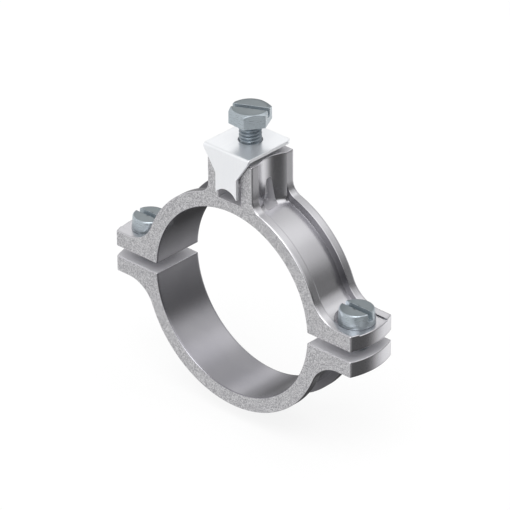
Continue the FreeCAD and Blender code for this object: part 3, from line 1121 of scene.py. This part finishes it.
@dataclass(frozen=True)
class Finish:
    """Metal surface: clouds tint it, and fine marks tilt it and vary its roughness.

    Where it has no clouds, the marks tint it.
    """

    name: str
    shades: tuple[Triple, Triple]
    rough: float
    vary: float
    metallic: float
    clouds: float
    marks: float
    tilt: tuple[float, float]
    stretch: Triple = (1.0, 1.0, 1.0)
    span: tuple[float, float] = (0.3, 0.7)

    def material(self) -> Material:
        """The finish as a material.

        Returns:
            The material.
        """
        material = bpy.data.materials.new(self.name)
        nodes = Nodes(material)
        place = nodes.add("ShaderNodeTexCoord").outputs["Object"]
        along = nodes.add("ShaderNodeMapping", {"Vector": place, "Scale": self.stretch}).outputs[0]
        marks = nodes.noise(along, self.marks)
        clouds = nodes.noise(place, self.clouds) if self.clouds else marks
        rough = self.rough
        if self.vary:
            rough = nodes.spread(marks, 0.3, 0.7, rough - self.vary, rough + self.vary)
        shader = nodes.add("ShaderNodeBsdfPrincipled", {
            "Base Color": nodes.tint(clouds, *self.shades, *self.span),
            "Metallic": self.metallic,
            "Roughness": rough,
            "Normal": nodes.bump(marks, *self.tilt),
        })
        nodes.add("ShaderNodeOutputMaterial", {"Surface": shader.outputs[0]})
        return material


# Die-cast zinc, satin where the die was smooth, with faint flow marks
CAST = Finish(
    "cast_zinc_smooth", ((0.59, 0.585, 0.61), (0.64, 0.635, 0.66)), rough=0.25, vary=0.02,
    metallic=1.0, clouds=90, marks=3200, tilt=(0.00001, 0.25),
)
# Blue-passivated zinc plating on turned steel, with turning marks and a cloudy tint
PLATING = Finish(
    "zinc_plated_steel_head", ((0.39, 0.44, 0.475), (0.43, 0.48, 0.515)), rough=0.28, vary=0.01,
    metallic=0.65, clouds=160, marks=700, tilt=(0.000002, 0.1), stretch=(1.0, 1.0, 14.0),
)
# Smooth bright sheet, rolled along its length
SHEET = Finish(
    "stainless_sheet_skin", ((0.90, 0.915, 0.94), (0.92, 0.935, 0.955)), rough=0.28, vary=0.0,
    metallic=0.8, clouds=0.0, marks=2400, tilt=(0.000001, 0.05), stretch=(1.0, 0.05, 0.05),
)
# A casting's finishes in the order of CastSkin. The parting faces have a raised grain that glints.
# The bore's darker colour is painted shade, the tower's openings are rough, and the channel's
# walls' dark colour is painted shade too, with a little more roughness.
CAST_SKINS = (
    CAST,
    replace(CAST, name="cast_zinc_grained", shades=((0.35, 0.347, 0.367), (0.76, 0.757, 0.77)),
            rough=0.5, vary=0.0, clouds=0.0, marks=4300, tilt=(0.00006, 0.6), span=(0.38, 0.61)),
    replace(CAST, name="cast_zinc_bore_painted_shade", shades=((0.36, 0.355, 0.385), (0.41, 0.405, 0.43))),
    replace(CAST, name="cast_zinc_inside", rough=0.55, metallic=0.5),
    replace(CAST, name="cast_zinc_wall_painted_shade", shades=((0.16, 0.158, 0.17), (0.20, 0.198, 0.21)),
            rough=0.4),
)
# A screw's finishes in the order of ScrewSkin: the threads' and the faced tops' darker colours are
# painted shade, and the tops are rougher
SCREW_SKINS = (
    PLATING,
    replace(PLATING, name="zinc_plated_steel_thread_painted_shade",
            shades=((0.27, 0.31, 0.345), (0.33, 0.37, 0.41))),
    replace(PLATING, name="zinc_plated_steel_top_painted_shade",
            shades=((0.22, 0.25, 0.265), (0.255, 0.285, 0.30)), rough=0.38),
)


def dress(piece: Piece, finishes: list[Material], choose: Callable | None = None) -> None:
    """Give a piece its materials.

    Args:
        piece: the piece.
        finishes: its materials.
        choose: from the faces' centres in millimetres and their normals, the number of each
            face's material; all faces get the first one without it.
    """
    mesh = piece.data
    mesh.materials.clear()
    for finish in finishes:
        mesh.materials.append(finish)
    count = len(mesh.polygons)
    picked = np.zeros(count, np.int32)
    if choose:
        centres = np.empty(count * 3)
        normals = np.empty(count * 3)
        mesh.polygons.foreach_get("center", centres)
        mesh.polygons.foreach_get("normal", normals)
        picked = choose(centres.reshape(-1, 3) / MM, normals.reshape(-1, 3)).astype(np.int32)
    mesh.polygons.foreach_set("material_index", picked)


@dataclass(frozen=True)
class Lobe:
    """Soft bright area of the studio, whose light grows as a ray turns towards its middle.

    A ray's nearness is the cosine of its turn from the middle. The light is nothing up to the
    outer nearness and whole from the inner one, with a smooth step between.
    """

    middle: Triple
    outer: float
    inner: float
    light: float


@dataclass(frozen=True)
class Studio:
    """What stands round the clamp: the world that its metal shows, the floor and the camera."""

    dim: float = 0.11
    lobes: tuple[Lobe, ...] = (
        Lobe((-0.06, 0.18, 0.98), 0.30, 0.79, 0.63),  # above, wide
        Lobe((0.00, 0.97, -0.26), 0.82, 1.00, 0.60),  # behind, low: ears' ends and flutes
        Lobe((0.25, 0.93, -0.22), 0.707, 1.00, 0.55),  # the same, further right
        Lobe((0.00, 0.00, -1.00), 0.55, 0.85, -0.06),  # shade underneath
        Lobe((-0.72, 0.64, 0.28), 0.955, 1.00, 0.38),  # behind on the left: bore and channel
        Lobe((-0.595, 0.637, 0.49), 0.975, 1.00, 0.45),  # the same, higher: level faces
        Lobe((-0.74, -0.53, -0.41), 0.18, 0.51, 0.70),  # front left, low and wide: front faces
        Lobe((0.30, -0.82, 0.50), 0.84, 1.00, 2.20),  # front right, high
        Lobe((0.24, -0.34, 0.91), 0.91, 1.00, 4.20),  # overhead: shoulders of the heads
        Lobe((0.30, 0.42, 0.86), 0.92, 1.00, 0.75),  # behind, high
        Lobe((0.44, 0.76, -0.48), 0.965, 1.00, 0.30),  # behind on the right, low: ears' ends
        Lobe((0.73, 0.37, 0.57), 0.93, 1.00, 0.80),  # right, high
        Lobe((0.80, -0.38, -0.46), 0.93, 1.00, 0.45),  # right, low: hexagon's right flat
    )
    floor_half: float = 1.5
    floor_drop: float = 0.0041
    floor_grey: float = 0.92
    floor_white: float = 0.85
    photo: float = 510.0
    sensor: float = 36.0
    focus: float = 4116.7
    middle: tuple[float, float] = (256.62, 256.79)
    azimuth: float = 43.05
    elevation: float = 29.40
    roll: float = -0.385
    distance: float = 1077.3
    clip: tuple[float, float] = (0.05, 20.0)
    target: Triple = (1.915, 0, 11.284)

    def make_world(self) -> None:
        """White world for the eye, and dim light with bright lobes for what it lights."""
        world = bpy.data.worlds.new("studio")
        bpy.context.scene.world = world
        nodes = Nodes(world)
        ray = nodes.add("ShaderNodeTexCoord").outputs["Generated"]
        level = self.dim
        for lobe in self.lobes:
            near = nodes.add("ShaderNodeVectorMath", {0: ray, 1: Vector(lobe.middle).normalized()},
                             operation="DOT_PRODUCT").outputs["Value"]
            light = nodes.add("ShaderNodeMapRange", {
                "Value": near, "From Min": lobe.outer, "From Max": lobe.inner, "To Max": lobe.light,
            }, interpolation_type="SMOOTHSTEP").outputs[0]
            level = nodes.add("ShaderNodeMath", {0: light, 1: level}, operation="ADD").outputs[0]
        eye = nodes.add("ShaderNodeLightPath").outputs["Is Camera Ray"]
        dim, plain = (nodes.white("ShaderNodeBackground", strength) for strength in (level, 1.0))
        nodes.add("ShaderNodeOutputWorld", {"Surface": nodes.mix(eye, dim, plain)})

    def make_floor(self, lowest: float) -> None:
        """Pale floor that is white to the eye but for the clamp's shadow.

        The floor stands below the clamp, so that the lower half can open without meeting it.

        Args:
            lowest: height of the clamp's lowest point, in metres.
        """
        mesh = bpy.data.meshes.new("floor")
        half = self.floor_half
        corners = np.insert(box(half, -half, half), 2, lowest - self.floor_drop, axis=1)
        mesh.from_pydata(corners.tolist(), [], [(0, 1, 2, 3)])
        floor = bpy.data.objects.new("floor", mesh)
        bpy.context.scene.collection.objects.link(floor)
        material = bpy.data.materials.new("floor_white")
        nodes = Nodes(material)
        grey = (self.floor_grey, self.floor_grey, self.floor_grey, 1)
        matt = nodes.add("ShaderNodeBsdfDiffuse", {"Color": grey}).outputs[0]
        plain = nodes.white("ShaderNodeEmission", 1.0)
        eye = nodes.add("ShaderNodeLightPath").outputs["Is Camera Ray"]
        links = {0: eye, 1: self.floor_white}
        share = nodes.add("ShaderNodeMath", links, operation="MULTIPLY").outputs[0]
        nodes.add("ShaderNodeOutputMaterial", {"Surface": nodes.mix(share, matt, plain)})
        mesh.materials.append(material)
        floor.visible_glossy = False

    def make_camera(self) -> None:
        """Camera at the photograph's angle: turned round the clamp, raised, rolled and drawn back."""
        facing = (Matrix.Rotation(turn(self.azimuth), 4, "Z")
                  @ Matrix.Rotation(turn(90 - self.elevation), 4, "X")
                  @ Matrix.Rotation(turn(self.roll), 4, "Z"))
        place = (Vector(self.target) + facing.col[2].to_3d() * self.distance) * MM
        data = bpy.data.cameras.new("camera")
        data.sensor_width = self.sensor
        data.lens = self.focus / self.photo * self.sensor
        data.shift_x = (self.photo / 2 - self.middle[0]) / self.photo
        data.shift_y = (self.middle[1] - self.photo / 2) / self.photo
        data.clip_start, data.clip_end = self.clip
        camera = bpy.data.objects.new("camera", data)
        camera.matrix_world = Matrix.Translation(place) @ facing
        bpy.context.scene.collection.objects.link(camera)
        bpy.context.scene.camera = camera


def main() -> None:
    """Build the clamp piece by piece, then the studio round it."""
    logging.basicConfig(level=logging.INFO, format="%(message)s")
    cast, plated = ([skin.material() for skin in skins] for skins in (CAST_SKINS, SCREW_SKINS))
    upper, lower = Casting(Side.UPPER), Casting(Side.LOWER)
    left, right = ((x, 0, upper.seat_level) for x in (-upper.screw_x, upper.screw_x))
    pieces = [
        upper.build(cast),
        lower.build(cast),
        CheeseHead("clamp_screw_left", "left_screw", left).build(plated),
        CheeseHead("clamp_screw_right", "right_screw", right).build(plated),
        HexHead().build(plated),
        Strap().build(SHEET.material()),
    ]
    for piece in pieces:
        LOG.info("%s: %d faces", piece.name, len(piece.data.polygons))
    bpy.context.scene.view_settings.view_transform = "Standard"
    studio = Studio()
    studio.make_camera()
    studio.make_world()
    studio.make_floor(CAD_BOX[0][2])


if __name__ == "__main__":
    main()
